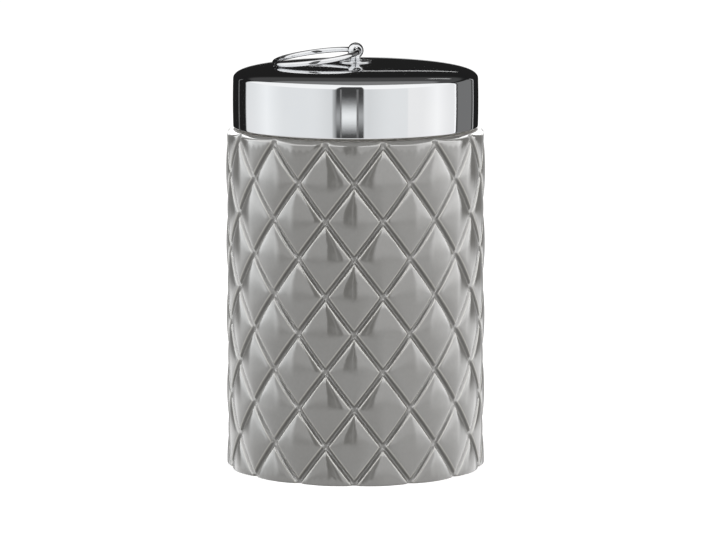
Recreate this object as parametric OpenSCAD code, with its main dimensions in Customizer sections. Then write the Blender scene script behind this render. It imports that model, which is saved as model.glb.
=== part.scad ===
// Round ceramic jar for cotton pads, with a slip-over metal lid.
// The lid carries a ball knob, and a wire ring passes through the ball as a pull.
// Millimetres. Origin at the centre of the foot, +Z up, front of the jar towards -Y.

/* [Jar] */
// Radius at the crowns of the padded diamonds
jar_r = 39.75; // [37:0.25:46]
// Height of the shoulder above the surface the jar stands on
jar_h = 104; // [80:0.5:150]
// Thickness of the side wall, measured at the bottom of the grooves
jar_wall = 4.2; // [3:0.1:5.5]
// Thickness of the floor over the recess in the foot
floor_t = 4.5; // [3:0.5:8]
// Radius of the fillet between the floor and the side inside
floor_fillet = 5; // [2:0.5:10]
// Depth of the recess under the floor
foot_recess = 1.5; // [0.8:0.1:3]
// Width of the flat ring that the jar stands on
foot_w = 4; // [2:0.5:8]
// Height of the small bevel round the lowest edge
foot_bevel = 0.4; // [0.2:0.1:1]
// Height of the plain rounded band above the quilting
shoulder_band = 1.3; // [1:0.1:4]

/* [Quilting] */
// Number of diamonds round the jar
diamonds_round = 14; // [8:1:18]
// Number of half diamonds up the jar
half_rows = 9; // [5:1:13]
// Height of a diamond's edge above the bottom of the groove
edge_rise = 0.75; // [0.4:0.05:1.2]
// Height of a diamond's crown above its own edge
crown_rise = 0.9; // [0.4:0.05:1.4]
// Width of a groove between the edges of two diamonds
groove_w = 1.5; // [0.8:0.1:2.5]
// How square the padding's soft pyramid is: 2 is a round cone, and more gives it clearer ridges
pad_square = 4.5; // [2:0.5:8]
// How the padding falls away from its crown: 1 is straight, and more is rounder
pad_fall = 1.2; // [1:0.1:2]
// How far the quilting is turned round the jar from the front towards the right, in degrees
quilt_turn = -0.6; // [-12:0.1:12]

/* [Neck and seal] */
// Thickness of the neck's wall
neck_wall = 3.6; // [3:0.1:5]
// Depth below the shoulder at which the inside starts to widen from the neck
neck_root = 4; // [3:0.5:8]
// Height of the taper inside the neck's root, for each millimetre that it widens
taper_run = 1.3; // [0.8:0.1:2]
// Radius of the rounded lip at the top of the neck
lip_round = 1; // [0.5:0.1:1.4]
// Gap all round between the neck and the lid's liner
neck_gap = 0.5; // [0.3:0.05:1]
// Height of the seal ring
seal_h = 2.4; // [1.6:0.1:4]
// Depth of the seal's groove in the neck
seal_depth = 1.2; // [0.8:0.1:1.6]
// Height of the seal's middle above the shoulder
seal_up = 6; // [4:0.5:7]
// Running clearance of the seal in its groove and in the liner
seal_clear = 0.05; // [0.02:0.01:0.1]

/* [Lid] */
// How far the lid's side stands in from the crowns of the diamonds
lid_inset = 2.15; // [0.5:0.05:4]
// Gap between the shoulder and the lid's lower edge
lid_gap = 0.8; // [0.3:0.1:1.5]
// Height of the straight part of the lid's side
lid_side = 14.1; // [10:0.1:25]
// Height of the domed top above the straight side
lid_rise = 5.4; // [4:0.1:8]
// How flat the middle of the dome is
dome_flat = 2.36; // [2:0.02:4]
// How square the dome's shoulder is
dome_square = 3.03; // [2:0.01:4]
// Thickness of the lid's metal
lid_sheet = 0.8; // [0.5:0.1:1.2]
// Width of the rim turned inwards at the lid's lower edge
hem_w = 1.5; // [1:0.1:1.8]
// Bevel round the outside of the lid's lower edge
edge_bevel = 0.25; // [0.1:0.05:0.5]
// Thickness of the liner's side
liner_t = 1.2; // [1:0.1:1.6]
// Thickness of the liner's roof
roof_t = 1.2; // [0.8:0.1:1.6]
// Gap between the end of the knob's stud and the liner's roof
roof_gap = 1.3; // [0.5:0.1:3]
// Glue gap between the liner and the lid's metal
glue_gap = 0.05; // [0.02:0.01:0.1]

/* [Knob] */
// Diameter of the ball
ball_d = 4.9; // [4.5:0.1:7]
// Gap all round the wire in the hole through the ball
wire_gap = 0.45; // [0.35:0.05:0.6]
// Height of the neck between the flange and the ball
knob_neck_h = 0.8; // [0.5:0.1:4]
// Diameter of the neck under the ball, at its narrowest
waist_d = 2.9; // [2.4:0.1:4]
// Diameter of the neck where it stands on the flange
neck_foot_d = 5; // [4:0.1:6]
// Diameter of the flange under the knob
flange_d = 9.9; // [8:0.1:14]
// Thickness of the flange at its middle
flange_t = 0.7; // [0.4:0.1:1]
// Diameter of the threaded stud that goes through the lid
stud_d = 3; // [2:0.5:4]
// Running clearance round the stud in each hole
stud_clear = 0.05; // [0.03:0.01:0.15]
// How far the stud stands out of the nut
stud_proud = 0.3; // [0.1:0.1:1]

/* [Pull ring] */
// Radius of the ring to the middle of its wire
ring_r = 12.7; // [9:0.1:14]
// Diameter of the wire
wire_d = 1.6; // [1.2:0.1:1.8]
// Direction in which the ring lies, from the +X axis towards +Y, in degrees
ring_heading = 195; // [0:5:360]

/* [Fasteners] */
// Diameter of the flat washer
washer_d = 7; // [6:0.5:9]
// Thickness of the flat washer
washer_t = 0.5; // [0.3:0.1:0.8]
// Diameter of the split spring washer
spring_washer_d = 6; // [5.5:0.1:7]
// Thickness of the split spring washer
spring_washer_t = 0.8; // [0.5:0.1:1]
// Width of the nut across its flats
nut_af = 5.5; // [5:0.5:7]
// Height of the nut
nut_h = 1.8; // [1.4:0.1:2.2]

/* [Hidden] */
$fn = 96;

glaze_grey = "#8d8c88";
chrome = "#d5d8da";
steel = "#a9abad";
liner_white = "#ecebe6";
seal_clear_white = "#dfe3e2";

// Cutting shapes run past the surfaces that they cut by this much
past = 1;
// Parts of one piece run into each other by this much
overlap = 0.01;

// Jar radii and heights
lid_r = jar_r - lid_inset;
groove_r = jar_r - edge_rise - crown_rise;
jar_inner_r = groove_r - jar_wall;
foot_hollow_r = groove_r - foot_bevel - foot_w;
floor_z = foot_recess + floor_t;
quilt_top = jar_h - shoulder_band;
half_row_h = (quilt_top - foot_bevel) / half_rows;

// Lid, liner and neck, worked inwards from the lid's outside
lid_edge_z = jar_h + lid_gap;
lid_side_z = lid_edge_z + lid_side;
lid_top_z = lid_side_z + lid_rise;
liner_outer_r = lid_r - lid_sheet - glue_gap;
liner_r = liner_outer_r - liner_t;
neck_r = liner_r - neck_gap;
mouth_r = neck_r - neck_wall;
inner_neck_z = jar_h - neck_root;
inner_taper_h = taper_run * (jar_inner_r - mouth_r);
seal_z = jar_h + seal_up;
seal_groove_r = neck_r - seal_depth;
hem_top_z = lid_edge_z + lid_sheet;

// A flat seat in the middle of the dome takes the flange above and the washer below
seat_r = max(flange_d, washer_d) / 2 + 1;
seat_z = lid_top_z - lid_sheet;

// Stack of fasteners under the lid, from the lid's metal downwards
washer_z = seat_z - washer_t;
spring_washer_z = washer_z - spring_washer_t;
nut_z = spring_washer_z - nut_h;
stud_end_z = nut_z - stud_proud;
stud_hole_d = stud_d + 2 * stud_clear;

// The liner's roof closes off the stud, and rests on the lip at the top of the neck
roof_top_z = stud_end_z - roof_gap;
neck_top_z = roof_top_z - roof_t;
neck_h = neck_top_z - jar_h;

// Knob
flange_top_z = lid_top_z + flange_t;
waist_z = flange_top_z + knob_neck_h;
ball_z = waist_z + sqrt(pow(ball_d / 2, 2) - pow(waist_d / 2, 2));
ball_hole_d = wire_d + 2 * wire_gap;

// Height of the lid's outer surface at a distance from its axis
function dome_z(r) = r <= seat_r ? lid_top_z
    : lid_side_z + lid_rise * pow(1 - pow(min(r / lid_r, 1), dome_flat), 1 / dome_square);

// The wire bows a little inside the straight hole, so the ring is set out by half the bow
wire_r = wire_d / 2;
hole_half = sqrt(pow(ball_d / 2, 2) - pow(ball_hole_d / 2, 2));
wire_bow = ring_r - sqrt(pow(ring_r, 2) - pow(hole_half, 2));
ring_out = ring_r - wire_bow / 2;

// Slope of the ring when its far side rests on the dome, found by a few repeated steps
rest_gap = 0.05;
function ring_slope(steps) = steps == 0 ? 0
    : let (
        last = ring_slope(steps - 1),
        reach = ring_out + ring_r,
        touch_r = reach * cos(last) - wire_r * sin(last),
        drop = ball_z - dome_z(touch_r) - wire_r / cos(last) - rest_gap
    ) asin(drop / reach);
ring_rest_slope = ring_slope(8);

// Quilting: the surface is a mesh on two families of slanting lines, which are the grooves.
// a and b count the grooves of each family, so each diamond is one unit of a by one of b.
groove_gap = 2 * PI * groove_r / diamonds_round;
diamond_h = 2 * half_row_h;
groove_pitch = groove_gap * diamond_h / sqrt(pow(groove_gap, 2) + pow(diamond_h, 2));
groove_share = min(groove_w / 2 / groove_pitch, 0.2);
cell_steps = [0, groove_share, 0.25, 0.5, 0.75, 1 - groove_share];
divisions = len(cell_steps);
ring_points = divisions * diamonds_round;
quilt_rings = divisions * half_rows;

function line_at(i) = floor(i / divisions) + cell_steps[(i % divisions + divisions) % divisions];
function edge_share(p) = min(1, min(p, 1 - p) / groove_share);
function pad_power(p) = pow(abs(2 * p - 1), pad_square);
function pad_share(p, q) = 1 - pow(pad_power(p) + pad_power(q), pad_fall / pad_square);
function part_of(a) = a - floor(a);
function quilt_r(a, b) =
    let (p = part_of(a), q = part_of(b))
    groove_r + min(edge_share(p), edge_share(q)) * (edge_rise + crown_rise * pad_share(p, q));
function on_jar(r, angle, z) = [r * sin(angle), -r * cos(angle), z];
function column_angle(a, b) = quilt_turn + (a + b) * 180 / diamonds_round;

// Plain rings of the rounded shoulder, from the quilting up: how far each has left the
// quilting's outline for a circle, the circle's radius and the height
shoulder_r = groove_r + edge_rise;
shoulder_rings = [
    [0.6, shoulder_r, quilt_top + 0.35 * shoulder_band],
    [1, shoulder_r - 0.1, quilt_top + 0.65 * shoulder_band],
    [1, shoulder_r - 0.45, quilt_top + 0.88 * shoulder_band],
    [1, shoulder_r - 1.1, jar_h]
];

function quilt_point(ring, i) =
    let (a = line_at(i), b = line_at(i - ring))
    on_jar(quilt_r(a, b), column_angle(a, b), foot_bevel + (a - b) * half_row_h);
function foot_point(i) =
    let (a = line_at(i))
    on_jar(quilt_r(a, a) - foot_bevel, column_angle(a, a), 0);
function plain_ring(ring, r, z) = [
    for (i = [0:ring_points - 1])
        on_jar(r, column_angle(line_at(i), line_at(i - ring)), z)
];
function shoulder_point(row, i) =
    let (
        a = line_at(i),
        b = line_at(i - quilt_rings),
        r = quilt_r(a, b) * (1 - row[0]) + row[1] * row[0]
    )
    on_jar(r, column_angle(a, b), row[2]);

// The flat foot and the flat shoulder each reach in to a ring that lies inside the foot's recess
// or the neck's wall, and step up there, so that what is cut or joined crosses plain flat rims
cap_rings = [
    [0, foot_hollow_r - past, foot_recess / 2],
    [0, foot_hollow_r - past, 0],
    [quilt_rings, (mouth_r + neck_r) / 2, jar_h],
    [quilt_rings, (mouth_r + neck_r) / 2, jar_h + past]
];

quilt_rows_of_points = concat(
    [for (cap = [cap_rings[0], cap_rings[1]]) plain_ring(cap[0], cap[1], cap[2])],
    [[for (i = [0:ring_points - 1]) foot_point(i)]],
    [for (ring = [0:quilt_rings]) [for (i = [0:ring_points - 1]) quilt_point(ring, i)]],
    [for (row = shoulder_rings) [for (i = [0:ring_points - 1]) shoulder_point(row, i)]],
    [for (cap = [cap_rings[2], cap_rings[3]]) plain_ring(cap[0], cap[1], cap[2])]
);

module quilted_block() {
    rows = len(quilt_rows_of_points);
    points = [for (row = quilt_rows_of_points) for (point = row) point];
    skin = [
        for (row = [0:rows - 2])
            for (i = [0:ring_points - 1])
                let (
                    next = (i + 1) % ring_points,
                    low = row * ring_points,
                    high = low + ring_points
                )
                for (face = [[low + i, high + i, high + next], [low + i, high + next, low + next]]) face
    ];
    foot = [[for (i = [0:ring_points - 1]) i]];
    top = [[for (i = [0:ring_points - 1]) rows * ring_points - 1 - i]];
    polyhedron(points = points, faces = concat(skin, foot, top), convexity = 4);
}

module neck_and_lip() {
    rotate_extrude()
        union() {
            translate([mouth_r - past, jar_h - past])
                square([neck_wall + past, neck_h + past - lip_round]);
            translate([mouth_r + lip_round, jar_h])
                square([neck_wall - 2 * lip_round, neck_h]);
            for (r = [mouth_r + lip_round, neck_r - lip_round])
                translate([r, neck_top_z - lip_round])
                    circle(r = lip_round);
        }
}

module jar_hollow() {
    rotate_extrude()
        union() {
            polygon([
                [0, floor_z],
                [jar_inner_r - floor_fillet, floor_z],
                [jar_inner_r, floor_z + floor_fillet],
                [jar_inner_r, inner_neck_z - inner_taper_h],
                [mouth_r, inner_neck_z],
                [mouth_r, neck_top_z - lip_round],
                [0, neck_top_z + past]
            ]);
            translate([jar_inner_r - floor_fillet, floor_z + floor_fillet])
                circle(r = floor_fillet);
        }
}

module seal_groove() {
    translate([0, 0, seal_z - seal_h / 2])
        rotate_extrude()
            translate([seal_groove_r, 0])
                square([seal_depth + past, seal_h]);
}

module foot_hollow() {
    translate([0, 0, -past])
        cylinder(r = foot_hollow_r, h = foot_recess + past);
}

module jar_body() {
    color(glaze_grey)
        difference() {
            union() {
                quilted_block();
                neck_and_lip();
            }
            jar_hollow();
            seal_groove();
            foot_hollow();
        }
}

module seal_ring() {
    inner = seal_groove_r + seal_clear;
    outer = liner_r - seal_clear;
    height = seal_h - 2 * seal_clear;
    color(seal_clear_white)
        translate([0, 0, seal_z])
            rotate_extrude()
                union() {
                    translate([inner, -height / 2])
                        square([neck_r - inner, height]);
                    translate([(inner + outer) / 2, 0])
                        circle(d = outer - inner);
                }
}

// Half outline of the dome, from its middle outwards, drawn in by the given thickness
dome_points = 22;
function dome_outline(inset) = [
    for (k = [0:dome_points])
        let (
            t = k / dome_points,
            full_r = lid_r - inset,
            r = seat_r + (full_r - seat_r) * (1 - pow(1 - t, 2)),
            share = pow(max(0, 1 - pow(r / full_r, dome_flat)), 1 / dome_square)
        )
        [r, k == 0 ? lid_top_z - inset : lid_side_z + (lid_rise - inset) * share]
];

function turned_round(list) = [for (k = [len(list) - 1:-1:0]) list[k]];

// Clearance hole for the stud, through a thickness that starts at z = 0
module stud_hole(thickness) {
    translate([0, 0, -past])
        cylinder(d = stud_hole_d, h = thickness + 2 * past);
}

module lid_shell() {
    outer = dome_outline(0);
    inner = dome_outline(lid_sheet);
    color(chrome)
        difference() {
            rotate_extrude()
                polygon(concat(
                    [[0, lid_top_z]],
                    outer,
                    [
                        [lid_r, lid_edge_z + edge_bevel],
                        [lid_r - edge_bevel, lid_edge_z],
                        [lid_r - hem_w, lid_edge_z],
                        [lid_r - hem_w, hem_top_z],
                        [lid_r - lid_sheet, hem_top_z]
                    ],
                    turned_round(inner),
                    [[0, seat_z]]
                ));
            translate([0, 0, seat_z])
                stud_hole(lid_sheet);
        }
}

// The liner lines the side of the lid, and its roof closes off the fasteners.
// Its roof rests on the lip of the neck and holds the lid's edge clear of the shoulder.
module lid_liner() {
    color(liner_white)
        translate([0, 0, hem_top_z])
            difference() {
                cylinder(r = liner_outer_r, h = roof_top_z - hem_top_z);
                translate([0, 0, -past])
                    cylinder(r = liner_r, h = neck_top_z - hem_top_z + past);
            }
}

module knob_flange() {
    edge_t = flange_t / 2;
    flat_r = neck_foot_d / 2 + 0.2;
    color(chrome)
        translate([0, 0, lid_top_z])
            difference() {
                rotate_extrude()
                    polygon([
                        [0, 0],
                        [flange_d / 2 - 0.05, 0],
                        [flange_d / 2, edge_t / 3],
                        [flange_d / 2 - 0.1, edge_t],
                        [(flange_d / 2 + flat_r) / 2, flange_t * 0.9],
                        [flat_r, flange_t],
                        [0, flange_t]
                    ]);
                stud_hole(flange_t);
            }
}

// Ball, trumpet-shaped neck and threaded stud, turned from one piece
module knob_post() {
    flare_steps = 8;
    flare = [
        for (k = [0:flare_steps])
            let (t = k / flare_steps)
            [
                waist_d / 2 + (neck_foot_d - waist_d) / 2 * pow(1 - t, 2),
                flange_top_z + knob_neck_h * t
            ]
    ];
    color(chrome)
        difference() {
            union() {
                translate([0, 0, ball_z])
                    sphere(d = ball_d);
                rotate_extrude()
                    polygon(concat([[0, flange_top_z]], flare, [[0, ball_z]]));
                translate([0, 0, stud_end_z])
                    cylinder(d = stud_d, h = flange_top_z - stud_end_z + overlap);
            }
            translate([0, 0, ball_z])
                rotate([0, 0, ring_heading])
                    rotate([90, 0, 0])
                        cylinder(d = ball_hole_d, h = ball_d + 2 * past, center = true);
        }
}

// The ring is a torus through the ball's hole, tipped down until its far side rests on the lid
module pull_ring() {
    color(chrome)
        translate([0, 0, ball_z])
            rotate([0, 0, ring_heading])
                rotate([0, ring_rest_slope, 0])
                    translate([ring_out, 0, 0])
                        rotate_extrude()
                            translate([ring_r, 0])
                                circle(d = wire_d, $fn = 48);
}

module flat_washer() {
    color(steel)
        translate([0, 0, washer_z])
            difference() {
                cylinder(d = washer_d, h = washer_t);
                stud_hole(washer_t);
            }
}

module spring_washer() {
    split_w = 0.4;
    color(steel)
        translate([0, 0, spring_washer_z])
            difference() {
                cylinder(d = spring_washer_d, h = spring_washer_t);
                stud_hole(spring_washer_t);
                rotate([0, 0, ring_heading])
                    translate([0, -split_w / 2, -past])
                        cube([spring_washer_d, split_w, spring_washer_t + 2 * past]);
            }
}

module stud_nut() {
    corner_d = nut_af / cos(30);
    color(steel)
        translate([0, 0, nut_z])
            difference() {
                cylinder(d = corner_d, h = nut_h, $fn = 6);
                stud_hole(nut_h);
            }
}

jar_body();
seal_ring();
lid_shell();
lid_liner();
knob_flange();
knob_post();
pull_ring();
flat_washer();
spring_washer();
stud_nut();
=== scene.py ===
"""A glazed, diamond-quilted ceramic jar with a slip-over chrome lid, a ball knob and a pull ring."""
import math

import bpy
from mathutils import Matrix, Vector


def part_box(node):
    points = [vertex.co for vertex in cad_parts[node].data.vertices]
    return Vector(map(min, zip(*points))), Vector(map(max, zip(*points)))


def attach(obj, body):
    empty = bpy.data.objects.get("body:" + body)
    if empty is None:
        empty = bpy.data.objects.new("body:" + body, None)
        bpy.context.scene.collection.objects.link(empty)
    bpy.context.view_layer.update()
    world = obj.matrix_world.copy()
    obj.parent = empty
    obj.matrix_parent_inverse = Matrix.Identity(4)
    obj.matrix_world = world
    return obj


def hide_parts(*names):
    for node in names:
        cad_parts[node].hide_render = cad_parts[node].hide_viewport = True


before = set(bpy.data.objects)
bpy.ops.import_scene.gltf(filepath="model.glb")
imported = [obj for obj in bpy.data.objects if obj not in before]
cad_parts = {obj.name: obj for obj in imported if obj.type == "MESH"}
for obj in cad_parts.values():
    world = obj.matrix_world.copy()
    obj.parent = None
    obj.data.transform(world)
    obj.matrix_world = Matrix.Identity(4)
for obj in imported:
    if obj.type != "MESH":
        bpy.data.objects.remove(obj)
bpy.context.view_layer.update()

# Shapes are worked out in millimetres and turned into metres where a mesh is made
MM = 0.001


def box_mm(node):
    low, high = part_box(node)
    return low / MM, high / MM


_, jar_high = box_mm("jar_body")
shell_low, shell_high = box_mm("lid_shell")
liner_low, liner_high = box_mm("lid_liner")
seal_low, seal_high = box_mm("seal_ring")
flange_low, flange_high = box_mm("knob_flange")
post_low, post_high = box_mm("knob_post")

# Quilted jar
DIAMONDS_ROUND = 14
HALF_ROWS = 9
QUILT_TURN = -0.6
EDGE_RISE = 0.75
CROWN_RISE = 0.9
FOOT_BEVEL = 0.4
FOOT_W = 4.0
FOOT_RECESS = 1.5
FLOOR_T = 4.5
FLOOR_FILLET = 5.0
JAR_WALL = 4.2
SHOULDER_BAND = 1.3
SHOULDER_DRAW = 1.1
LID_GAP = 0.8
CROWN_R = jar_high.x
GROOVE_R = CROWN_R - EDGE_RISE - CROWN_RISE
SHOULDER_R = GROOVE_R + EDGE_RISE
SHOULDER_Z = shell_low.z - LID_GAP
FLOOR_Z = FOOT_RECESS + FLOOR_T
QUILT_TOP = SHOULDER_Z - SHOULDER_BAND
HALF_ROW_H = (QUILT_TOP - FOOT_BEVEL) / HALF_ROWS
# Half width of the groove between two panels
GROOVE_HALF = 0.95
# Inside its edge a panel still rises a little: how far in, and its share of the whole edge
EDGE_ROLL = 2.3
ROLL_SHARE = 0.26
# The padding's ridges: how rounded the level ones are, and the upright ones at their ends and peak
LEVEL_ROUND = 1.0
UPRIGHT_ROUND = (0.05, 0.28)
PAD_FALL = 1.15
# Distances from the middle of a groove at which the mesh has its lines
LINE_STEPS = (0, 0.2, 0.4, 0.58, 0.74, 0.88, 1.0, 1.3, 1.75, 2.3, 3.4, 5.2)
# Over which of these distances the groove's dark ends, which is pooled glaze and painted shade, and the lip's
# light starts and ends, which is thin glaze and a painted highlight
POOL_AND_SHADE_END = (0.35, 0.75)
LIP_START = (0.65, 0.9)
LIP_END = (0.95, 1.25)

# Neck
NECK_WALL = 3.6
NECK_GAP = 0.5
NECK_ROOT = 4.0
TAPER_RUN = 1.3
LIP_ROUND = 1.0
SEAL_DEPTH = 1.2
SEAL_CLEAR = 0.05

# Lid
LID_SHEET = 0.8
HEM_W = 1.5
LID_SIDE = 14.1
DOME_FLAT = 2.36
DOME_SQUARE = 3.03
# The side of the lid bellies out by this much between its edge and its shoulder
SIDE_BELLY = 0.1
LINER_T = 1.2
ROOF_T = 1.2
LID_R = shell_high.x
LID_EDGE_Z = shell_low.z
LID_TOP_Z = shell_high.z
LID_SIDE_Z = LID_EDGE_Z + LID_SIDE
LINER_R = liner_high.x - LINER_T
NECK_R = LINER_R - NECK_GAP
NECK_TOP = jar_high.z
SEAL_GROOVE_R = NECK_R - SEAL_DEPTH

# Knob and ring
BALL_D = 4.9
BALL_HOLE_D = 2.5
WAIST_D = 2.9
NECK_FOOT_D = 5.0
STUD_D = 3.0
STUD_CLEAR = 0.05
RING_R = 12.7
WIRE_D = 1.6
RING_HEADING = 195.0
BALL_Z = post_high.z - BALL_D / 2

# Camera, from the photograph: the frame in pixels, the distance, the scale at the jar and where it looks
PHOTO_W = 716
CAMERA_DISTANCE = 1300.0
PIXELS_PER_MM = 3.2506
CAMERA_AIM = (0.73, 0.0, 60.0)
CAMERA_ELEVATION = 8.38
SENSOR_W = 36.0

# Studio: the sphere of light that reflections see, and the cards just inside it
STUDIO_R = 3000.0
STUDIO_Z = 100.0
THIN_CARD_R = STUDIO_R - 50
GLAZE_CARD_R = STUDIO_R - 200
# The table, and the even light that reaches everything
TABLE_HALF = 4000.0
TABLE_DROP = 0.05
TABLE_GREY = 0.86
TABLE_GLOW = 0.45
SOFT_LIGHT = (1.0, 0.995, 0.985)
SOFT_LEVEL = 0.62


def direction(azimuth, elevation):
    """A unit vector from azimuth, measured from the front towards +X, and elevation, in degrees."""
    a = math.radians(azimuth)
    e = math.radians(elevation)
    return Vector((math.sin(a) * math.cos(e), -math.cos(a) * math.cos(e), math.sin(e)))


def smooth(t):
    """Eases from 0 to 1."""
    t = min(max(t, 0.0), 1.0)
    return t * t * (3 - 2 * t)


def ease(value, span):
    """Eases from 0 at the start of a span to 1 at its end."""
    start, end = span
    return smooth((value - start) / (end - start))


# Meshes


def make_object(name, points, faces, material):
    """A smooth-shaded object from points in millimetres."""
    mesh = bpy.data.meshes.new(name)
    mesh.from_pydata([Vector(p) * MM for p in points], [], faces)
    mesh.polygons.foreach_set("use_smooth", [True] * len(mesh.polygons))
    mesh.materials.append(material)
    mesh.update()
    piece = bpy.data.objects.new(name, mesh)
    bpy.context.scene.collection.objects.link(piece)
    return piece


def add_values(piece, name, values):
    """One number for each point of the mesh, for a material to read."""
    layer = piece.data.attributes.new(name=name, type="FLOAT", domain="POINT")
    layer.data.foreach_set("value", values)


def dress(piece, body, slot, *nodes):
    """Lets a piece ride on a body and stand for CAD nodes. The slot is not used."""
    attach(piece, body)
    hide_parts(*nodes)


def arc(centre, radius, start, end, steps):
    """Points of an arc in an outline, with its angles in degrees from the outward direction."""
    points = []
    for k in range(steps + 1):
        angle = math.radians(start + (end - start) * k / steps)
        points.append((centre[0] + radius * math.cos(angle), centre[1] + radius * math.sin(angle)))
    return points


def straight(start, end, steps):
    """Points of a straight line in an outline, without its ends."""
    return [
        (start[0] + (end[0] - start[0]) * k / steps, start[1] + (end[1] - start[1]) * k / steps)
        for k in range(1, steps)
    ]


def lathe(outline, steps, closed=False):
    """Turns an outline of (radius, height) round +Z. The outline runs with the outside to its right."""
    points = []
    rings = []
    for radius, height in outline:
        count = 1 if radius == 0 else steps
        rings.append([len(points) + k for k in range(count)])
        for k in range(count):
            angle = 2 * math.pi * k / steps
            points.append((radius * math.cos(angle), radius * math.sin(angle), height))
    if closed:
        rings.append(rings[0])
    faces = []
    for low, high in zip(rings, rings[1:]):
        for k in range(steps):
            n = k + 1
            corners = [low[k % len(low)], low[n % len(low)], high[n % len(high)], high[k % len(high)]]
            faces.append(list(dict.fromkeys(corners)))
    return points, faces


# Materials


class Nodes:
    """A material's node tree with short calls for the nodes used here."""

    def __init__(self, name):
        self.material = bpy.data.materials.new(name)
        self.material.use_nodes = True
        self.tree = self.material.node_tree
        self.tree.nodes.clear()
        self.output = self.tree.nodes.new("ShaderNodeOutputMaterial")

    def add(self, kind, **settings):
        node = self.tree.nodes.new("ShaderNode" + kind)
        for key, value in settings.items():
            setattr(node, key, value)
        return node

    def join(self, source, target):
        self.tree.links.new(source, target)

    def principled(self, **values):
        shader = self.add("BsdfPrincipled")
        for key, value in values.items():
            shader.inputs[key].default_value = value
        self.join(shader.outputs[0], self.output.inputs["Surface"])
        return shader

    def noise(self, scale, detail, stretch=(1, 1, 1)):
        """Noise in the object's own space. The scale is in waves per metre."""
        where = self.add("TexCoord")
        mapping = self.add("Mapping")
        mapping.inputs["Scale"].default_value = stretch
        texture = self.add("TexNoise")
        texture.inputs["Scale"].default_value = scale
        texture.inputs["Detail"].default_value = detail
        self.join(where.outputs["Object"], mapping.inputs["Vector"])
        self.join(mapping.outputs[0], texture.inputs["Vector"])
        return texture.outputs["Fac"]

    def spread(self, source, low, high, source_low=0.35, source_high=0.65):
        """Maps a value from one range to another."""
        node = self.add("MapRange")
        node.inputs["From Min"].default_value = source_low
        node.inputs["From Max"].default_value = source_high
        node.inputs["To Min"].default_value = low
        node.inputs["To Max"].default_value = high
        self.join(source, node.inputs["Value"])
        return node.outputs["Result"]

    def attribute(self, name):
        return self.add("Attribute", attribute_name=name).outputs["Fac"]

    def math(self, operation, first, second):
        node = self.add("Math", operation=operation)
        for socket, value in zip(node.inputs, (first, second)):
            if isinstance(value, (int, float)):
                socket.default_value = value
            else:
                self.join(value, socket)
        return node.outputs[0]

    def mix(self, share, first, second):
        """Mixes two colours, each a tuple or a socket."""
        node = self.add("MixRGB")
        for socket, value in zip(node.inputs, (share, first, second)):
            if isinstance(value, (int, float)):
                socket.default_value = value
            elif isinstance(value, tuple):
                socket.default_value = (*value, 1)
            else:
                self.join(value, socket)
        return node.outputs[0]

    def bump(self, height, distance):
        """Turns a height into a normal. The distance is in metres."""
        node = self.add("Bump")
        node.inputs["Distance"].default_value = distance
        self.join(height, node.inputs["Height"])
        return node.outputs["Normal"]


def glaze_material():
    """Grey glaze: dark in the grooves, from pooled glaze and painted shade, light on the lips, from thin
    glaze and a painted highlight, or left off. The foot's edge and the shoulder under the lid take the
    grooves' dark as painted shade.
    """
    dark_panel = (0.134, 0.131, 0.124)
    light_panel = (0.147, 0.145, 0.139)
    speck = (0.10, 0.098, 0.092)
    # Groove colour: pooled glaze and painted shade
    pooled_and_shade = (0.124, 0.1215, 0.116)
    # Lip colour: thin glaze and a painted highlight
    thin_glaze_and_highlight = (0.40, 0.385, 0.35)
    dark_bisque = (0.50, 0.48, 0.45)
    light_bisque = (0.60, 0.58, 0.55)
    lip_lightening = 0.45
    pool_dullness = 0.22
    bare_dullness = 0.7
    m = Nodes("grey_glaze")
    shader = m.principled(IOR=1.52)
    relief = m.attribute("relief")
    lip = m.attribute("lip")
    bare = m.attribute("bare")
    cloud = m.noise(45, 3)
    grain = m.noise(900, 2)
    panel = m.mix(m.spread(cloud, 0, 1), dark_panel, light_panel)
    panel = m.mix(m.spread(grain, 0, 0.12), panel, speck)
    # Grooves take the darker colour: pooled glaze and painted shade
    glazed = m.mix(relief, pooled_and_shade, panel)
    # Lips are lighter: thin glaze and a painted highlight
    glazed = m.mix(m.math("MULTIPLY", lip, lip_lightening), glazed, thin_glaze_and_highlight)
    bisque = m.mix(m.spread(grain, 0, 1), dark_bisque, light_bisque)
    m.join(m.mix(bare, glazed, bisque), shader.inputs["Base Color"])
    rough = m.math("ADD", m.spread(cloud, 0.07, 0.10), m.spread(relief, pool_dullness, 0.0, 0.0, 1.0))
    rough = m.math("ADD", rough, m.math("MULTIPLY", bare, bare_dullness))
    m.join(rough, shader.inputs["Roughness"])
    waves = m.math("ADD", m.noise(210, 1), m.math("MULTIPLY", m.noise(700, 1), 0.12))
    m.join(m.bump(waves, 0.00003), shader.inputs["Normal"])
    return m.material


def chrome_material():
    """Bright chromium plate, with the faint uneven shine that polishing leaves."""
    m = Nodes("chrome_plate")
    shader = m.principled(Metallic=1.0, IOR=1.5)
    smear = m.noise(38, 4)
    lines = m.noise(260, 2, (1, 1, 14))
    colour = m.mix(m.spread(smear, 0, 1), (0.815, 0.825, 0.84), (0.845, 0.85, 0.86))
    m.join(colour, shader.inputs["Base Color"])
    rough = m.math("ADD", m.spread(smear, 0.02, 0.045), m.spread(lines, 0.0, 0.02))
    m.join(rough, shader.inputs["Roughness"])
    m.join(m.bump(m.noise(70, 1), 0.000004), shader.inputs["Normal"])
    return m.material


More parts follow.
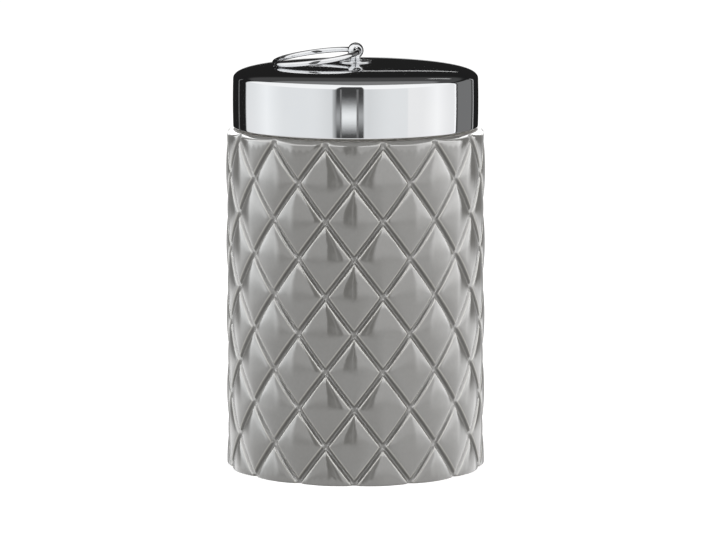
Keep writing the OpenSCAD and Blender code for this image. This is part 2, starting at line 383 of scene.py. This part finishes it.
def plastic_material(name, dark, light, rough, soft):
    """Moulded plastic or rubber with a fine even grain."""
    m = Nodes(name)
    shader = m.principled(IOR=1.46)
    shader.inputs["Subsurface Weight"].default_value = soft
    shader.inputs["Subsurface Scale"].default_value = 0.001
    cloud = m.noise(60, 3)
    grain = m.noise(2500, 1)
    m.join(m.mix(m.spread(cloud, 0, 1), dark, light), shader.inputs["Base Color"])
    m.join(m.spread(cloud, rough - 0.05, rough + 0.05), shader.inputs["Roughness"])
    m.join(m.bump(grain, 0.000012), shader.inputs["Normal"])
    return m.material


def steel_material():
    """Zinc-bright steel of the fasteners, with turning marks."""
    m = Nodes("bright_steel")
    shader = m.principled(Metallic=1.0)
    marks = m.noise(900, 2, (1, 1, 6))
    colour = m.mix(m.spread(marks, 0, 1), (0.46, 0.47, 0.48), (0.62, 0.63, 0.64))
    m.join(colour, shader.inputs["Base Color"])
    m.join(m.spread(marks, 0.25, 0.42), shader.inputs["Roughness"])
    m.join(m.bump(marks, 0.000008), shader.inputs["Normal"])
    return m.material


# Jar

GROOVE_GAP = 2 * math.pi * GROOVE_R / DIAMONDS_ROUND
DIAMOND_H = 2 * HALF_ROW_H
GROOVE_PITCH = GROOVE_GAP * DIAMOND_H / math.hypot(GROOVE_GAP, DIAMOND_H)
NEAR_LINES = [step / GROOVE_PITCH for step in LINE_STEPS]
CELL_LINES = NEAR_LINES + [0.5] + [1 - share for share in reversed(NEAR_LINES[1:])]
DIVISIONS = len(CELL_LINES)
RING_POINTS = DIVISIONS * DIAMONDS_ROUND
QUILT_RINGS = DIVISIONS * HALF_ROWS


def line_at(index):
    """The place of a mesh line, counted in grooves."""
    whole, step = divmod(index, DIVISIONS)
    return whole + CELL_LINES[step]


def groove_distance(a, b):
    """Distance to the nearest groove's middle, for each of the two families of grooves."""
    part_a = a - math.floor(a)
    part_b = b - math.floor(b)
    return min(part_a, 1 - part_a) * GROOVE_PITCH, min(part_b, 1 - part_b) * GROOVE_PITCH


def edge_share(near):
    """How far a panel's edge has risen at a distance from the middle of a groove."""
    roll = 1 - (1 - min(near / EDGE_ROLL, 1)) ** 2
    return smooth(near / GROOVE_HALF) * (1 - ROLL_SHARE + ROLL_SHARE * roll)


def panel_share(a, b):
    """0 in the middle of a groove and 1 on the panels."""
    near_a, near_b = groove_distance(a, b)
    return edge_share(near_a) * edge_share(near_b)


def pool_and_shade_share(a, b):
    """0 in a groove, where the glaze pools and painted shade darkens it, and 1 outside."""
    return ease(min(groove_distance(a, b)), POOL_AND_SHADE_END)


def lip_share(a, b):
    """1 along the sharp lip of a panel."""
    near = min(groove_distance(a, b))
    return ease(near, LIP_START) * (1 - ease(near, LIP_END))


def soft_abs(t, rounding):
    """The size of t, rounded off near 0, and 1 where t is 1."""
    return (math.hypot(t, rounding) - rounding) / (math.hypot(1, rounding) - rounding)


def pad_share(a, b):
    """The padding's rise: a soft four-sided pyramid, 1 at its peak and about 0 along its edges."""
    u = 2 * (a - math.floor(a)) - 1
    v = 2 * (b - math.floor(b)) - 1
    across = (u + v) / 2
    up = (u - v) / 2
    end_round, peak_round = UPRIGHT_ROUND
    rounding = end_round + (peak_round - end_round) * (1 - abs(up)) ** 2
    return 1 - (soft_abs(across, rounding) + soft_abs(up, LEVEL_ROUND)) ** PAD_FALL


def quilt_r(a, b):
    return GROOVE_R + (EDGE_RISE + CROWN_RISE * pad_share(a, b)) * panel_share(a, b)


def neck_outline():
    """From the root of the neck up over the seal's groove and the lip, and down the inside to the floor."""
    edge = 0.2
    edge_middle = 0.06
    low = seal_low.z - SEAL_CLEAR
    high = seal_high.z + SEAL_CLEAR
    groove_r = SEAL_GROOVE_R
    outline = [(NECK_R, low - edge), (NECK_R - edge_middle, low - edge_middle), (NECK_R - edge, low)]
    outline += [(groove_r + edge, low), (groove_r, low + edge)]
    outline += [(groove_r, high - edge), (groove_r + edge, high)]
    outline += [(NECK_R - edge, high), (NECK_R - edge_middle, high + edge_middle), (NECK_R, high + edge)]

    mouth_r = NECK_R - NECK_WALL
    outline += arc((NECK_R - LIP_ROUND, NECK_TOP - LIP_ROUND), LIP_ROUND, 0, 90, 8)
    outline += arc((mouth_r + LIP_ROUND, NECK_TOP - LIP_ROUND), LIP_ROUND, 90, 180, 8)

    inner_r = GROOVE_R - JAR_WALL
    taper_top = SHOULDER_Z - NECK_ROOT
    taper_foot = taper_top - TAPER_RUN * (inner_r - mouth_r)
    outline += [(mouth_r, taper_top + 1), (mouth_r + 0.05, taper_top + 0.4), (mouth_r + 0.3, taper_top - 0.3)]
    outline += [(inner_r - 0.3, taper_foot + 0.3), (inner_r, taper_foot - 0.6)]
    outline += [(inner_r, height) for height in (80, 60, 40, 20)]
    outline += arc((inner_r - FLOOR_FILLET, FLOOR_Z + FLOOR_FILLET), FLOOR_FILLET, 0, -90, 8)
    outline += [(r, FLOOR_Z) for r in (22, 15, 8)]
    return outline


def jar_piece(material):
    """The whole jar as one closed skin: foot, quilting, shoulder, neck, inside and floor."""
    points = []
    relief = []
    lip = []
    bare = []

    def add_ring(ring, height, plain_r, plain, draw=0.0, bare_share=0.0, painted_shade=0.0):
        """A ring on the quilting's mesh lines, blended to a plain circle. Painted shade gives a ring the
        grooves' dark colour and dull glaze.
        """
        for i in range(RING_POINTS):
            a = line_at(i)
            b = line_at(i - ring)
            z = FOOT_BEVEL + (a - b) * HALF_ROW_H if height is None else height
            r = quilt_r(a, b) * (1 - plain) + plain_r * plain - draw
            angle = math.radians(QUILT_TURN + (a + b) * 180 / DIAMONDS_ROUND)
            points.append((r * math.sin(angle), -r * math.cos(angle), z))
            relief.append(max(pool_and_shade_share(a, b), plain) * (1 - painted_shade))
            lip.append(lip_share(a, b) * (1 - plain))
            bare.append(bare_share)

    def add_pole(height):
        points.append((0, 0, height))
        relief.append(1)
        lip.append(0)
        bare.append(0)

    def add_plain(ring, outline, bare_share=0.0):
        for radius, height in outline:
            add_ring(ring, height, radius, 1, bare_share=bare_share)

    # Under the foot, from the middle outwards
    recess_r = GROOVE_R - FOOT_BEVEL - FOOT_W
    recess_round = 1.0
    foot_round = 0.4
    add_pole(FOOT_RECESS)
    under = [(r, FOOT_RECESS) for r in (8, 16, 24, 30)]
    under += reversed(arc((recess_r - recess_round, FOOT_RECESS - recess_round), recess_round, 0, 90, 5))
    add_plain(0, under)
    add_plain(0, arc((recess_r + foot_round, foot_round), foot_round, 180, 270, 4), 1.0)
    # The foot's edge: how far a ring is drawn in, its height and how bare it is
    foot_edge = [(FOOT_BEVEL + 0.6, 0, 1), (FOOT_BEVEL, 0, 0.3), (0.2, 0.05, 0), (0.05, 0.18, 0)]
    # Each ring of the foot's edge takes the grooves' dark colour as painted shade where the jar meets the
    # table
    for draw, height, bare_share in foot_edge:
        add_ring(0, height, 0, 0, draw=draw, bare_share=bare_share, painted_shade=1.0)
    quilt_low = (len(points) - 1) // RING_POINTS
    quilt_high = quilt_low + QUILT_RINGS

    # Quilting
    for ring in range(QUILT_RINGS + 1):
        add_ring(ring, None, 0, 0)

    # Rounded shoulder, where the quilting runs out into a circle and the glaze turns dull, and its top under
    # the lid takes painted shade
    shoulder_steps = 9
    plain_from_step = 7.2
    dull_and_shade_steps = (5, 7)
    for k in range(1, shoulder_steps + 1):
        turn = math.radians(90 * k / shoulder_steps)
        height = QUILT_TOP + SHOULDER_BAND * math.sin(turn)
        draw = SHOULDER_DRAW * (1 - math.cos(turn))
        plain = smooth(k / plain_from_step)
        add_ring(QUILT_RINGS, height, SHOULDER_R, plain, draw=draw, painted_shade=ease(k, dull_and_shade_steps))

    # Bare root of the neck, then the neck, the inside and the floor. The root is left unglazed, and its light
    # bisque is also painted light in the dark gap under the lid
    root_round = 0.5
    root_r = NECK_R + root_round
    root = [(root_r + 0.6, SHOULDER_Z)]
    root += reversed(arc((root_r, SHOULDER_Z + root_round), root_round, 180, 270, 4))
    add_plain(QUILT_RINGS, root, 1.0)
    add_plain(QUILT_RINGS, neck_outline())
    add_pole(FLOOR_Z)

    rings = (len(points) - 2) // RING_POINTS

    def at(ring, i):
        return 1 + ring * RING_POINTS + i % RING_POINTS

    faces = []
    for i in range(RING_POINTS):
        faces.append((0, at(0, i + 1), at(0, i)))
        faces.append((len(points) - 1, at(rings - 1, i), at(rings - 1, i + 1)))
    for ring in list(range(quilt_low)) + list(range(quilt_high, rings - 1)):
        for i in range(RING_POINTS):
            faces.append((at(ring, i), at(ring, i + 1), at(ring + 1, i + 1), at(ring + 1, i)))
    # The quilting's faces are the diamonds between its own lines, with triangles at its two ends
    for ring in range(quilt_low - 1, quilt_high):
        for i in range(RING_POINTS):
            corners = [(ring, i), (ring + 1, i + 1), (ring + 2, i + 1), (ring + 1, i)]
            faces.append([at(r, k) for r, k in corners if quilt_low <= r <= quilt_high])
    piece = make_object("jar", points, faces, material)
    add_values(piece, "relief", relief)
    add_values(piece, "lip", lip)
    add_values(piece, "bare", bare)
    dress(piece, "jar", "glaze", "jar_body")
    return piece


# Lid


def dome_outline(radius, rise, inner_r, steps):
    """The dome from its side to its middle, as (radius, height above the side)."""
    points = []
    start = math.asin((inner_r / radius) ** (DOME_FLAT / 2))
    for k in range(steps + 1):
        turn = start + (math.pi / 2 - start) * (1 - k / steps)
        share = math.cos(turn) ** (2 / DOME_SQUARE) if k else 0.0
        points.append((radius * math.sin(turn) ** (2 / DOME_FLAT), rise * share))
    return points


def lid_piece(material):
    """The chromed cap with its bellied side, domed top, stud hole and turned-in edge."""
    hole_r = STUD_D / 2 + STUD_CLEAR
    rise = LID_TOP_Z - LID_SIDE_Z
    middle = (LID_EDGE_Z + LID_SIDE_Z) / 2
    half_h = LID_SIDE / 2
    curve = SIDE_BELLY / half_h ** 2
    # The side runs on into the dome where both lean in alike
    lean = 2 * curve * half_h
    meet = (lean * DOME_FLAT * rise / (DOME_SQUARE * LID_R)) ** (1 / (DOME_SQUARE - 1))
    meet_z = LID_SIDE_Z + meet * rise
    meet_r = LID_R - curve * (meet_z - middle) ** 2
    dome_r = meet_r / (1 - meet ** DOME_SQUARE) ** (1 / DOME_FLAT)

    edge_round = 0.12
    low_r = LID_R - SIDE_BELLY
    side_z = LID_EDGE_Z + edge_round
    outline = arc((LID_R - HEM_W + edge_round, side_z), edge_round, 180, 270, 4)
    outline += arc((low_r - edge_round, side_z), edge_round, 270, 355, 6)
    side_steps = 36
    for k in range(1, side_steps + 1):
        z = side_z + (meet_z - side_z) * k / side_steps
        outline.append((LID_R - curve * (z - middle) ** 2, z))
    least_step = 0.02
    for r, z in dome_outline(dome_r, rise, hole_r, 110):
        if z > meet * rise + least_step:
            outline.append((r, LID_SIDE_Z + z))
    inner_r = LID_R - LID_SHEET
    hem_r = LID_R - HEM_W
    hem_top = LID_EDGE_Z + LID_SHEET
    hem_round = 0.2
    inner = dome_outline(inner_r, rise - LID_SHEET, hole_r, 40)
    outline += [(r, LID_SIDE_Z + z) for r, z in reversed(inner)]
    outline += straight((inner_r, LID_SIDE_Z), (inner_r, hem_top), 4)
    outline += [(inner_r, hem_top), (hem_r + hem_round, hem_top), (hem_r, hem_top - hem_round)]
    piece = make_object("lid", *lathe(outline, 256, closed=True), material)
    dress(piece, "lid", "chrome", "lid_shell")
    return piece


def liner_piece(material):
    """The plastic cup in the lid, with rounded edges and the mark of its moulding gate under the roof."""
    outer = liner_high.x
    low = liner_low.z
    high = liner_high.z
    roof = high - ROOF_T
    edge = 0.3
    edge_middle = 0.08
    corner = 0.5
    gate_r = 1.5
    gate_z = roof + 0.25
    outline = [(0, gate_z), (gate_r - 0.3, gate_z), (gate_r, roof), (6, roof), (16, roof), (26, roof)]
    outline += arc((LINER_R - corner, roof - corner), corner, 90, 0, 5)
    outline += straight((LINER_R, roof - corner), (LINER_R, low + edge), 4)
    outline += [(LINER_R, low + edge), (LINER_R + edge_middle, low + edge_middle), (LINER_R + edge, low)]
    outline += [(outer - edge, low), (outer - edge_middle, low + edge_middle), (outer, low + edge)]
    outline += straight((outer, low + edge), (outer, high - edge), 4)
    outline += arc((outer - edge, high - edge), edge, 0, 90, 4)
    outline += [(24, high), (12, high), (0, high)]
    piece = make_object("liner", *lathe(outline, 160), material)
    dress(piece, "lid", "liner", "lid_liner")
    return piece


def seal_piece(material):
    """The soft ring: a flat foot in the neck's groove, and a round bead with shallow dips in its face."""
    inner = SEAL_GROOVE_R + SEAL_CLEAR
    outer = seal_high.x
    middle = (seal_low.z + seal_high.z) / 2
    half = (seal_high.z - seal_low.z) / 2
    bead_r = (outer - inner) / 2
    bead_centre = (inner + outer) / 2
    bevel = 0.1
    foot_r = NECK_R - 0.1
    low = middle - half
    high = middle + half
    outline = [(inner, high - bevel), (inner, low + bevel), (inner + bevel, low)]
    outline += [(foot_r - bevel, low), (foot_r, low + bevel)]
    steps = 28
    reach = 62.0
    dips = 3
    dip_depth = 0.05
    for k in range(steps + 1):
        turn = math.radians(-reach + 2 * reach * k / steps)
        dip = dip_depth * (1 - math.cos(2 * math.pi * dips * k / steps)) / 2
        r = bead_centre + (bead_r - dip) * math.cos(turn)
        outline.append((r, middle + (bead_r - dip) * math.sin(turn)))
    outline += [(foot_r, high - bevel), (foot_r - bevel, high), (inner + bevel, high)]
    piece = make_object("seal", *lathe(outline, 192, closed=True), material)
    dress(piece, "seal", "seal", "seal_ring")
    return piece


# Knob and ring


def flange_piece(material):
    """The thin domed disc under the knob."""
    low = flange_low.z
    rim_r = flange_high.x
    top = flange_high.z
    hole_r = STUD_D / 2 + STUD_CLEAR
    rim_t = (top - low) / 2
    edge_r = rim_r - rim_t / 2
    flat_r = NECK_FOOT_D / 2
    outline = [(hole_r, low), (rim_r - 0.12, low)]
    outline += arc((edge_r, low + rim_t / 2), rim_t / 2, -70, 75, 8)
    dome_steps = 12
    for k in range(1, dome_steps + 1):
        t = k / dome_steps
        z = low + rim_t + (top - low - rim_t) * math.sin(t * math.pi / 2)
        outline.append((edge_r + (flat_r - edge_r) * t, z))
    outline += [(hole_r, top)]
    piece = make_object("flange", *lathe(outline, 96, closed=True), material)
    dress(piece, "lid", "chrome", "knob_flange")
    return piece


def ball_mesh():
    """The ball turned round the axis of its hole, with the rims of the hole rounded."""
    radius = BALL_D / 2
    hole_r = BALL_HOLE_D / 2
    rim = 0.16
    half = math.sqrt((radius - rim) ** 2 - (hole_r + rim) ** 2)
    rim_turn = math.degrees(math.atan2(half, hole_r + rim))
    outline = arc((0, 0), radius, -rim_turn, rim_turn, 40)
    outline += arc((hole_r + rim, half), rim, rim_turn, 180, 6)[1:]
    outline += straight((hole_r, half), (hole_r, -half), 6)
    outline += arc((hole_r + rim, -half), rim, 180, 360 - rim_turn, 6)[:-1]
    points, faces = lathe(outline, 72, closed=True)
    turn = Matrix.Rotation(math.radians(RING_HEADING), 3, "Z") @ Matrix.Rotation(math.pi / 2, 3, "X")
    lift = Vector((0, 0, BALL_Z))
    return [turn @ Vector(p) + lift for p in points], faces


def post_piece(material):
    """Ball, trumpet-shaped neck and stud in one piece."""
    waist_r = WAIST_D / 2
    waist_z = BALL_Z - math.sqrt((BALL_D / 2) ** 2 - waist_r ** 2)
    foot_r = NECK_FOOT_D / 2
    foot_z = flange_high.z
    stud_r = STUD_D / 2
    end_z = post_low.z
    end_bevel = 0.3
    foot_edge = 0.06
    outline = [(0, end_z), (stud_r - end_bevel, end_z), (stud_r, end_z + end_bevel)]
    outline += straight((stud_r, end_z + end_bevel), (stud_r, foot_z), 4)
    outline += [(stud_r, foot_z), (foot_r - foot_edge, foot_z), (foot_r, foot_z + foot_edge)]
    flare_steps = 16
    flare_z = foot_z + foot_edge
    for k in range(1, flare_steps + 1):
        t = k / flare_steps
        outline.append((waist_r + (foot_r - waist_r) * (1 - t) ** 2, flare_z + (waist_z - flare_z) * t))
    # The neck closes just inside the ball
    outline += [(waist_r - 0.1, waist_z + 0.12), (0, waist_z + 0.16)]
    points, faces = lathe(outline, 72)
    ball_points, ball_faces = ball_mesh()
    faces += [[len(points) + k for k in face] for face in ball_faces]
    points += ball_points
    piece = make_object("knob", points, faces, material)
    dress(piece, "lid", "chrome", "knob_post")
    return piece


def dome_z(r):
    """Height of the lid's top at a distance from its middle."""
    share = max(0.0, 1 - (min(r / LID_R, 1)) ** DOME_FLAT)
    return LID_SIDE_Z + (LID_TOP_Z - LID_SIDE_Z) * share ** (1 / DOME_SQUARE)


def ring_piece(material):
    """The wire ring through the ball, tipped down until its far side rests on the lid."""
    wire_r = WIRE_D / 2
    hole_half = math.sqrt((BALL_D / 2) ** 2 - (BALL_HOLE_D / 2) ** 2)
    bow = RING_R - math.sqrt(RING_R ** 2 - hole_half ** 2)
    out = RING_R - bow / 2
    reach = out + RING_R
    rest_gap = 0.05
    # The slope at which the far side of the wire touches the dome, found in a few rounds
    slope = 0.0
    for _ in range(8):
        touch_r = reach * math.cos(slope) - wire_r * math.sin(slope)
        slope = math.asin((BALL_Z - dome_z(touch_r) - wire_r / math.cos(slope) - rest_gap) / reach)
    outline = arc((RING_R, 0), wire_r, 0, 360, 28)[:-1]
    points, faces = lathe(outline, 200, closed=True)
    place = (
        Matrix.Translation((0, 0, BALL_Z))
        @ Matrix.Rotation(math.radians(RING_HEADING), 4, "Z")
        @ Matrix.Rotation(slope, 4, "Y")
        @ Matrix.Translation((out, 0, 0))
    )
    piece = make_object("ring", [place @ Vector(p) for p in points], faces, material)
    dress(piece, "ring", "chrome", "pull_ring")
    return piece


# Studio


def make_camera():
    aim = Vector(CAMERA_AIM)
    away = direction(0, CAMERA_ELEVATION)
    data = bpy.data.cameras.new("camera")
    data.sensor_fit = "HORIZONTAL"
    data.sensor_width = SENSOR_W
    data.lens = PIXELS_PER_MM * CAMERA_DISTANCE * SENSOR_W / PHOTO_W
    data.clip_start = 0.01
    data.clip_end = 20
    camera = bpy.data.objects.new("camera", data)
    camera.location = (aim + away * CAMERA_DISTANCE) * MM
    camera.rotation_euler = (-away).to_track_quat("-Z", "Y").to_euler()
    bpy.context.scene.collection.objects.link(camera)
    bpy.context.scene.camera = camera


def make_world():
    """Plain white to the camera and to mirrors, and an even soft level of light for the rest."""
    world = bpy.data.worlds.new("studio_world")
    bpy.context.scene.world = world
    world.use_nodes = True
    tree = world.node_tree
    tree.nodes.clear()
    output = tree.nodes.new("ShaderNodeOutputWorld")
    mix = tree.nodes.new("ShaderNodeMixShader")
    path = tree.nodes.new("ShaderNodeLightPath")
    seen = path.outputs["Is Camera Ray"]
    for ray in ("Is Glossy Ray", "Is Transmission Ray"):
        either = tree.nodes.new("ShaderNodeMath")
        either.operation = "MAXIMUM"
        tree.links.new(seen, either.inputs[0])
        tree.links.new(path.outputs[ray], either.inputs[1])
        seen = either.outputs[0]
    tree.links.new(seen, mix.inputs["Fac"])
    for socket, colour, level in ((mix.inputs[1], SOFT_LIGHT, SOFT_LEVEL), (mix.inputs[2], PLAIN, 1.0)):
        light = tree.nodes.new("ShaderNodeBackground")
        light.inputs["Color"].default_value = (*colour, 1)
        light.inputs["Strength"].default_value = level
        tree.links.new(light.outputs[0], socket)
    tree.links.new(mix.outputs[0], output.inputs["Surface"])


def floor_material():
    """White to the camera, with the jar's shadow."""
    m = Nodes("white_floor")
    paint = m.add("BsdfDiffuse")
    paint.inputs["Color"].default_value = (TABLE_GREY, TABLE_GREY, TABLE_GREY, 1)
    glow = m.add("Emission")
    glow.inputs["Color"].default_value = (1, 1, 1, 1)
    glow.inputs["Strength"].default_value = TABLE_GLOW
    lit = m.add("MixShader")
    m.join(m.add("LightPath").outputs["Is Camera Ray"], lit.inputs["Fac"])
    m.join(glow.outputs[0], lit.inputs[2])
    both = m.add("AddShader")
    m.join(paint.outputs[0], both.inputs[0])
    m.join(lit.outputs[0], both.inputs[1])
    m.join(both.outputs[0], m.output.inputs["Surface"])
    return m.material


def make_floor():
    """The table. Reflections see the surround's lower half in its place."""
    sides = [(-1, -1), (1, -1), (1, 1), (-1, 1)]
    corners = [(x * TABLE_HALF, y * TABLE_HALF, -TABLE_DROP) for x, y in sides]
    floor = make_object("floor", corners, [(0, 1, 2, 3)], floor_material())
    floor.visible_glossy = False


def card_material(name, clear):
    """A card lit as its own points say. A clear card adds its light and hides nothing."""
    m = Nodes(name)
    glow = m.add("Emission")
    m.join(m.add("Attribute", attribute_name="glow").outputs["Color"], glow.inputs["Color"])
    glow.inputs["Strength"].default_value = 1.0
    shader = glow
    if clear:
        shader = m.add("AddShader")
        m.join(glow.outputs[0], shader.inputs[0])
        m.join(m.add("BsdfTransparent").outputs[0], shader.inputs[1])
    m.join(shader.outputs[0], m.output.inputs["Surface"])
    m.material.cycles.emission_sampling = "NONE"
    return m.material


def only_reflected(card, colours):
    """Gives a card its brightness and hides it from all but reflections."""
    layer = card.data.attributes.new(name="glow", type="FLOAT_COLOR", domain="POINT")
    layer.data.foreach_set("color", colours)
    card.visible_camera = False
    card.visible_diffuse = False
    card.visible_shadow = False
    card.visible_transmission = False


def make_card(name, radius, azimuths, elevations, level, material):
    """A patch of a sphere round the lid, as bright as level(azimuth, elevation)."""
    centre = Vector((0, 0, STUDIO_Z))
    points = []
    colours = []
    for e in elevations:
        for a in azimuths:
            points.append(centre + direction(a, e) * radius)
            colours.extend((*level(a, e), 1.0))
    count = len(azimuths)
    faces = []
    for row in range(len(elevations) - 1):
        for k in range(count - 1):
            low = row * count + k
            faces.append((low, low + 1, low + count + 1, low + count))
    card = make_object(name, points, faces, material)
    only_reflected(card, colours)
    return card


def spread_between(low, high, step):
    count = round((high - low) / step)
    return [low + (high - low) * k / count for k in range(count + 1)]


# Tints of the light
COOL = (0.975, 0.992, 1.0)
PLAIN = (1.0, 1.0, 1.0)
# What polished metal sees round it, over an even ground. Each layer lies over the ones before it:
# azimuth of its middle, half width and softness, the same for elevation, then level and tint
GROUND = 0.03
SURROUND = [
    # The table
    (0, 360, 1.0, -54, 39, 2.0, 0.85, PLAIN),
    # High screens over the front and both sides, and a ceiling that darkens to the rear
    (-8, 116, 1.0, 52, 41, 4.0, 1.08, PLAIN),
    (172, 64, 1.0, 68, 22, 4.0, 0.22, PLAIN),
    (172, 64, 1.0, 38, 9, 6.0, 0.07, PLAIN),
    # Low screen to the left, brighter outwards
    (-72.5, 51.5, 1.0, 0, 15, 1.0, 0.90, COOL),
    (-22, 4, 34, 0, 15, 1.0, 0.74, COOL),
    (-91, 6, 36, 0, 15, 1.0, 1.09, COOL),
    (-124, 3, 22, 0, 15, 1.0, 0.84, COOL),
    # Low screens to the right
    (56.5, 49.0, 1.0, 0, 15, 1.0, 0.89, COOL),
    (12, 6, 36, 0, 15, 1.0, 0.74, COOL),
    (77.5, 28.0, 0.8, 0, 15, 1.0, 0.95, PLAIN),
    (82, 6, 28, 0, 15, 1.0, 1.11, PLAIN),
    # Dark gap in front, with a lit strip low in it
    (-5.2, 12.8, 1.0, 20, 36, 1.0, 0.06, PLAIN),
    (-5.2, 12.8, 1.0, -6.2, 1.4, 3.2, 0.45, COOL),
    (-5.9, 7.4, 1.0, -6.2, 1.4, 3.2, 1.05, COOL),
    # Dark room behind, with a grey screen to the right
    (172, 64, 1.0, 0, 28, 6, 0.015, PLAIN),
    (124.5, 14.5, 1.0, 0, 20, 4.0, 0.19, PLAIN),
    (180, 8.5, 1.0, -8, 9, 1.0, 0.9, PLAIN),
]
# Thin lights and thin dark edges, sharper than the rest: azimuth and elevation of the middle, half width
# and half height, then level
THIN = [
    ("left_light", -140.7, 2, 1.1, 16, 0.20),
    ("right_edge_light", 106.6, 2, 1.3, 16, 1.15),
    ("right_light", 143.4, 2, 1.2, 16, 0.5),
    ("gap_line_left", -13.5, 0, 0.7, 14, 0.22),
    ("gap_line_right", 1.8, 0, 0.9, 14, 0.2),
    ("rear_line", 177.0, 14.4, 3.4, 0.3, 0.9),
    ("rear_window", 162.5, 34.6, 5.5, 0.9, 0.7),
]
# What the glaze sees. It mirrors more weakly than metal, so it has brighter lamps of its own
GLAZE_GROUND = 0.25
GLAZE_SURROUND = [
    # The table, brighter to the right and darker near the jar and behind, a dim ceiling and high lamps
    (0, 360, 1, -52, 42, 6, 2.6, PLAIN),
    (75, 55, 30, -26, 17, 6, 3.4, PLAIN),
    (0, 360, 1, -78, 26, 24, 0.5, PLAIN),
    (180, 30, 16, -30, 40, 10, 0.6, PLAIN),
    (0, 360, 1, 70, 34, 10, 1.2, PLAIN),
    (-8, 118, 16, 30, 23, 10, 9.0, PLAIN),
    # A lamp and a low screen behind, so that the back has its highlights too
    (180, 32, 16, 32, 20, 12, 6.5, PLAIN),
    (180, 30, 16, 9, 7, 4, 3.0, PLAIN),
    # Plain low screens in front, and the two bright ones at the sides
    (-46, 27, 8, 0, 9, 8, 3.3, PLAIN),
    (36, 31, 8, 0, 9, 8, 4.2, PLAIN),
    (-90, 26, 12, 8, 16, 16, 7.7, COOL),
    (88, 26, 12, 8, 16, 16, 8.0, PLAIN),
    # The dark gap in front, with a light line in it
    (-9, 12, 2, 9, 18, 2, 0.1, PLAIN),
    (-4.5, 1.3, 2, 9, 18, 2, 2.0, PLAIN),
    (-5, 13, 3, 30, 20, 10, 0.4, PLAIN),
]


def inside_share(off, half, soft):
    """1 inside a half width and 0 outside, with a soft edge."""
    return smooth((half + soft / 2 - off) / soft)


def level_of(layers, ground, azimuth, elevation):
    """The level in one direction, from layers over an even ground."""
    value = [ground] * 3
    for mid_a, half_a, soft_a, mid_e, half_e, soft_e, level, tint in layers:
        off_a = abs((azimuth - mid_a + 180) % 360 - 180)
        off_e = abs(elevation - mid_e)
        share = inside_share(off_a, half_a, soft_a) * inside_share(off_e, half_e, soft_e)
        value = [v * (1 - share) + level * t * share for v, t in zip(value, tint)]
    return value


def surround_level(azimuth, elevation):
    return level_of(SURROUND, GROUND, azimuth, elevation)


def glaze_extra(azimuth, elevation):
    """What the glaze's own lamps add to the surround."""
    wanted = level_of(GLAZE_SURROUND, GLAZE_GROUND, azimuth, elevation)
    given = surround_level(azimuth, elevation)
    return [max(w - g, 0.0) for w, g in zip(wanted, given)]


def make_surround(jar):
    material = card_material("lit_card", False)
    azimuths = spread_between(-180, 180, 1)
    elevations = spread_between(-90, 90, 1)
    make_card("surround", STUDIO_R, azimuths, elevations, surround_level, material)
    for name, mid_a, mid_e, half_a, half_e, level in THIN:
        thin_a = spread_between(mid_a - half_a, mid_a + half_a, half_a)
        thin_e = spread_between(mid_e - half_e, mid_e + half_e, half_e)
        make_card(name, THIN_CARD_R, thin_a, thin_e, lambda a, e: (level,) * 3, material)
    # Only the jar sees the last card
    only_jar = bpy.data.collections.new("only_jar")
    only_jar.objects.link(jar)
    clear = card_material("clear_card", True)
    glaze_lamps = make_card("glaze_lamps", GLAZE_CARD_R, azimuths, elevations, glaze_extra, clear)
    glaze_lamps.light_linking.receiver_collection = only_jar


# Soft lamps: azimuth and elevation, then distance and size in metres, watts and tint
LAMPS = [
    ("left_lamp", -62, 32, 1.6, 1.0, 8.0, (0.97, 0.99, 1.0)),
    ("right_lamp", 58, 30, 1.6, 1.0, 8.5, (1.0, 0.985, 0.96)),
    ("top_lamp", 20, 80, 1.5, 1.2, 6.0, (1.0, 1.0, 1.0)),
]


def make_lamp(name, azimuth, elevation, distance, size, watts, tint):
    """A soft lamp that lights and shades the object without showing in its gloss."""
    data = bpy.data.lights.new(name, "AREA")
    data.shape = "DISK"
    data.size = size
    data.energy = watts
    data.color = tint
    lamp = bpy.data.objects.new(name, data)
    away = direction(azimuth, elevation)
    lamp.location = away * distance + Vector(CAMERA_AIM) * MM
    lamp.rotation_euler = (-away).to_track_quat("-Z", "Y").to_euler()
    lamp.visible_glossy = False
    bpy.context.scene.collection.objects.link(lamp)


def make_studio(jar):
    bpy.context.scene.view_settings.view_transform = "Standard"
    make_world()
    make_floor()
    make_surround(jar)
    for lamp in LAMPS:
        make_lamp(*lamp)


def finish_nodes(material, names):
    """Gives CAD nodes that keep their own shape their finish."""
    for name in names:
        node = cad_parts[name]
        node.data.materials.clear()
        node.data.materials.append(material)


def build():
    make_camera()
    glaze = glaze_material()
    chrome = chrome_material()
    liner = plastic_material("white_liner", (0.80, 0.80, 0.77), (0.86, 0.86, 0.83), 0.42, 0.1)
    rubber = plastic_material("clear_seal", (0.66, 0.68, 0.68), (0.76, 0.78, 0.78), 0.38, 0.3)
    make_studio(jar_piece(glaze))
    lid_piece(chrome)
    liner_piece(liner)
    seal_piece(rubber)
    flange_piece(chrome)
    post_piece(chrome)
    ring_piece(chrome)
    finish_nodes(steel_material(), ("flat_washer", "spring_washer", "stud_nut"))


build()
